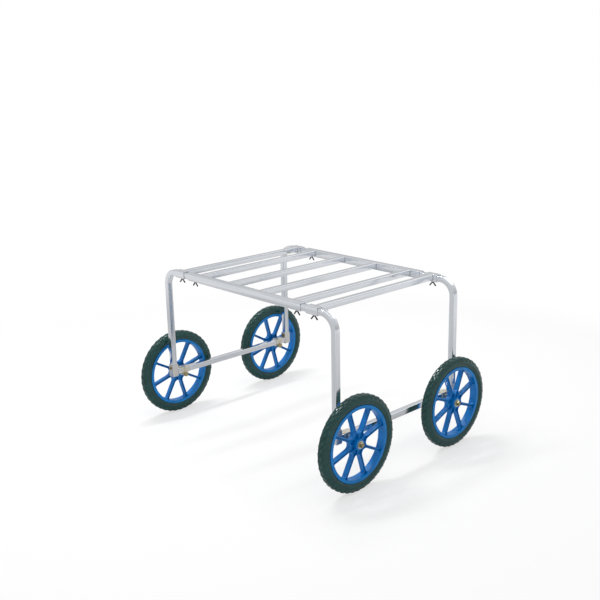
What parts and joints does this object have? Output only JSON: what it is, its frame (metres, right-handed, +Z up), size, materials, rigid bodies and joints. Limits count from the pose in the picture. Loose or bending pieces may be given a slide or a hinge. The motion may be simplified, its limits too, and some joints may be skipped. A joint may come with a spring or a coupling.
{
  "type": "harvest cart",
  "caption": "Ridge-straddling harvest cart: slatted aluminium deck on telescoping bent-tube legs, with side beams, wing-bolt clamps and large spoked wheels on solid tyres.",
  "frame": {"origin": "on the ground, under the middle of the deck", "axes": "+X along the axles, +Y the way the cart rolls, +Z up"},
  "size_m": [1.2398, 0.978, 0.716],
  "materials": {
    "drawn_aluminium": "satin, mill finish",
    "socket_aluminium": "sand-cast, matt",
    "yellow_zinc": "yellow-passivated zinc plating",
    "bright_zinc": "bright zinc plating",
    "black_oxide": "cast, dark oxide finish",
    "blue_plastic": "moulded, semi-gloss",
    "tyre_rubber": "moulded, matt",
    "bush_nylon": "moulded, plain"
  },
  "bodies": {
    "deck": {"rear_rail": "drawn_aluminium", "front_rail": "drawn_aluminium", "deck_bar_1": "drawn_aluminium", "deck_bar_2": "drawn_aluminium", "deck_bar_3": "drawn_aluminium", "deck_bar_4": "drawn_aluminium", "rail_clinch_nuts": "bright_zinc"},
    "left_legs": {"left_rear_leg": "drawn_aluminium", "left_rear_socket": "socket_aluminium", "left_rear_axle_bracket": "yellow_zinc", "left_rear_axle": "yellow_zinc", "left_front_leg": "drawn_aluminium", "left_front_socket": "socket_aluminium", "left_front_axle_bracket": "yellow_zinc", "left_front_axle": "yellow_zinc", "left_beam": "drawn_aluminium", "left_socket_bolts": "yellow_zinc", "left_bracket_bolts": "yellow_zinc", "left_axle_washers": "bright_zinc"},
    "left_end_bar_frame": {"left_end_bar": "drawn_aluminium", "left_rear_sleeve": "drawn_aluminium", "left_front_sleeve": "drawn_aluminium", "left_sleeve_clinch_nuts": "bright_zinc"},
    "left_rear_wheel_turning": {"left_rear_wheel": "blue_plastic", "left_rear_tyre": "tyre_rubber", "left_rear_bush": "bush_nylon"},
    "left_rear_rail_wing_bolt_turning": {"left_rear_rail_wing_bolt": "black_oxide"},
    "left_rear_sleeve_wing_bolt_turning": {"left_rear_sleeve_wing_bolt": "black_oxide"},
    "left_front_wheel_turning": {"left_front_wheel": "blue_plastic", "left_front_tyre": "tyre_rubber", "left_front_bush": "bush_nylon"},
    "left_front_rail_wing_bolt_turning": {"left_front_rail_wing_bolt": "black_oxide"},
    "left_front_sleeve_wing_bolt_turning": {"left_front_sleeve_wing_bolt": "black_oxide"},
    "right_legs": {"right_rear_leg": "drawn_aluminium", "right_rear_socket": "socket_aluminium", "right_rear_axle_bracket": "yellow_zinc", "right_rear_axle": "yellow_zinc", "right_front_leg": "drawn_aluminium", "right_front_socket": "socket_aluminium", "right_front_axle_bracket": "yellow_zinc", "right_front_axle": "yellow_zinc", "right_beam": "drawn_aluminium", "right_socket_bolts": "yellow_zinc", "right_bracket_bolts": "yellow_zinc", "right_axle_washers": "bright_zinc"},
    "right_end_bar_frame": {"right_end_bar": "drawn_aluminium", "right_rear_sleeve": "drawn_aluminium", "right_front_sleeve": "drawn_aluminium", "right_sleeve_clinch_nuts": "bright_zinc"},
    "right_rear_wheel_turning": {"right_rear_wheel": "blue_plastic", "right_rear_tyre": "tyre_rubber", "right_rear_bush": "bush_nylon"},
    "right_rear_rail_wing_bolt_turning": {"right_rear_rail_wing_bolt": "black_oxide"},
    "right_rear_sleeve_wing_bolt_turning": {"right_rear_sleeve_wing_bolt": "black_oxide"},
    "right_front_wheel_turning": {"right_front_wheel": "blue_plastic", "right_front_tyre": "tyre_rubber", "right_front_bush": "bush_nylon"},
    "right_front_rail_wing_bolt_turning": {"right_front_rail_wing_bolt": "black_oxide"},
    "right_front_sleeve_wing_bolt_turning": {"right_front_sleeve_wing_bolt": "black_oxide"}
  },
  "joints": [
    {"name": "left_legs_slide", "type": "slide", "parent": "deck", "child": "left_legs", "axis": [-1, 0, 0], "range_m": [-0.03, 0.12]},
    {"name": "left_end_bar_slide", "type": "slide", "parent": "left_legs", "child": "left_end_bar_frame", "axis": [1, 0, 0], "range_m": [-0.012, 0.03]},
    {"name": "left_rear_wheel_spin", "type": "hinge", "parent": "left_legs", "child": "left_rear_wheel_turning", "pos_m": [-0.585, -0.294, 0.195], "axis": [1, 0, 0], "continuous": true},
    {"name": "left_rear_rail_wing_bolt_turn", "type": "hinge", "parent": "deck", "child": "left_rear_rail_wing_bolt_turning", "pos_m": [-0.326, -0.348, 0.684], "axis": [0, 0, -1], "range_deg": [0, 360]},
    {"name": "left_rear_sleeve_wing_bolt_turn", "type": "hinge", "parent": "left_end_bar_frame", "child": "left_rear_sleeve_wing_bolt_turning", "pos_m": [-0.422, -0.348, 0.684], "axis": [0, 0, -1], "range_deg": [0, 360]},
    {"name": "left_front_wheel_spin", "type": "hinge", "parent": "left_legs", "child": "left_front_wheel_turning", "pos_m": [-0.585, 0.294, 0.195], "axis": [1, 0, 0], "continuous": true},
    {"name": "left_front_rail_wing_bolt_turn", "type": "hinge", "parent": "deck", "child": "left_front_rail_wing_bolt_turning", "pos_m": [-0.326, 0.348, 0.684], "axis": [0, 0, -1], "range_deg": [0, 360]},
    {"name": "left_front_sleeve_wing_bolt_turn", "type": "hinge", "parent": "left_end_bar_frame", "child": "left_front_sleeve_wing_bolt_turning", "pos_m": [-0.422, 0.348, 0.684], "axis": [0, 0, -1], "range_deg": [0, 360]},
    {"name": "right_legs_slide", "type": "slide", "parent": "deck", "child": "right_legs", "axis": [1, 0, 0], "range_m": [-0.03, 0.12]},
    {"name": "right_end_bar_slide", "type": "slide", "parent": "right_legs", "child": "right_end_bar_frame", "axis": [-1, 0, 0], "range_m": [-0.012, 0.03]},
    {"name": "right_rear_wheel_spin", "type": "hinge", "parent": "right_legs", "child": "right_rear_wheel_turning", "pos_m": [0.585, -0.294, 0.195], "axis": [1, 0, 0], "continuous": true},
    {"name": "right_rear_rail_wing_bolt_turn", "type": "hinge", "parent": "deck", "child": "right_rear_rail_wing_bolt_turning", "pos_m": [0.326, -0.348, 0.684], "axis": [0, 0, -1], "range_deg": [0, 360]},
    {"name": "right_rear_sleeve_wing_bolt_turn", "type": "hinge", "parent": "right_end_bar_frame", "child": "right_rear_sleeve_wing_bolt_turning", "pos_m": [0.422, -0.348, 0.684], "axis": [0, 0, -1], "range_deg": [0, 360]},
    {"name": "right_front_wheel_spin", "type": "hinge", "parent": "right_legs", "child": "right_front_wheel_turning", "pos_m": [0.585, 0.294, 0.195], "axis": [1, 0, 0], "continuous": true},
    {"name": "right_front_rail_wing_bolt_turn", "type": "hinge", "parent": "deck", "child": "right_front_rail_wing_bolt_turning", "pos_m": [0.326, 0.348, 0.684], "axis": [0, 0, -1], "range_deg": [0, 360]},
    {"name": "right_front_sleeve_wing_bolt_turn", "type": "hinge", "parent": "right_end_bar_frame", "child": "right_front_sleeve_wing_bolt_turning", "pos_m": [0.422, 0.348, 0.684], "axis": [0, 0, -1], "range_deg": [0, 360]}
  ]
}
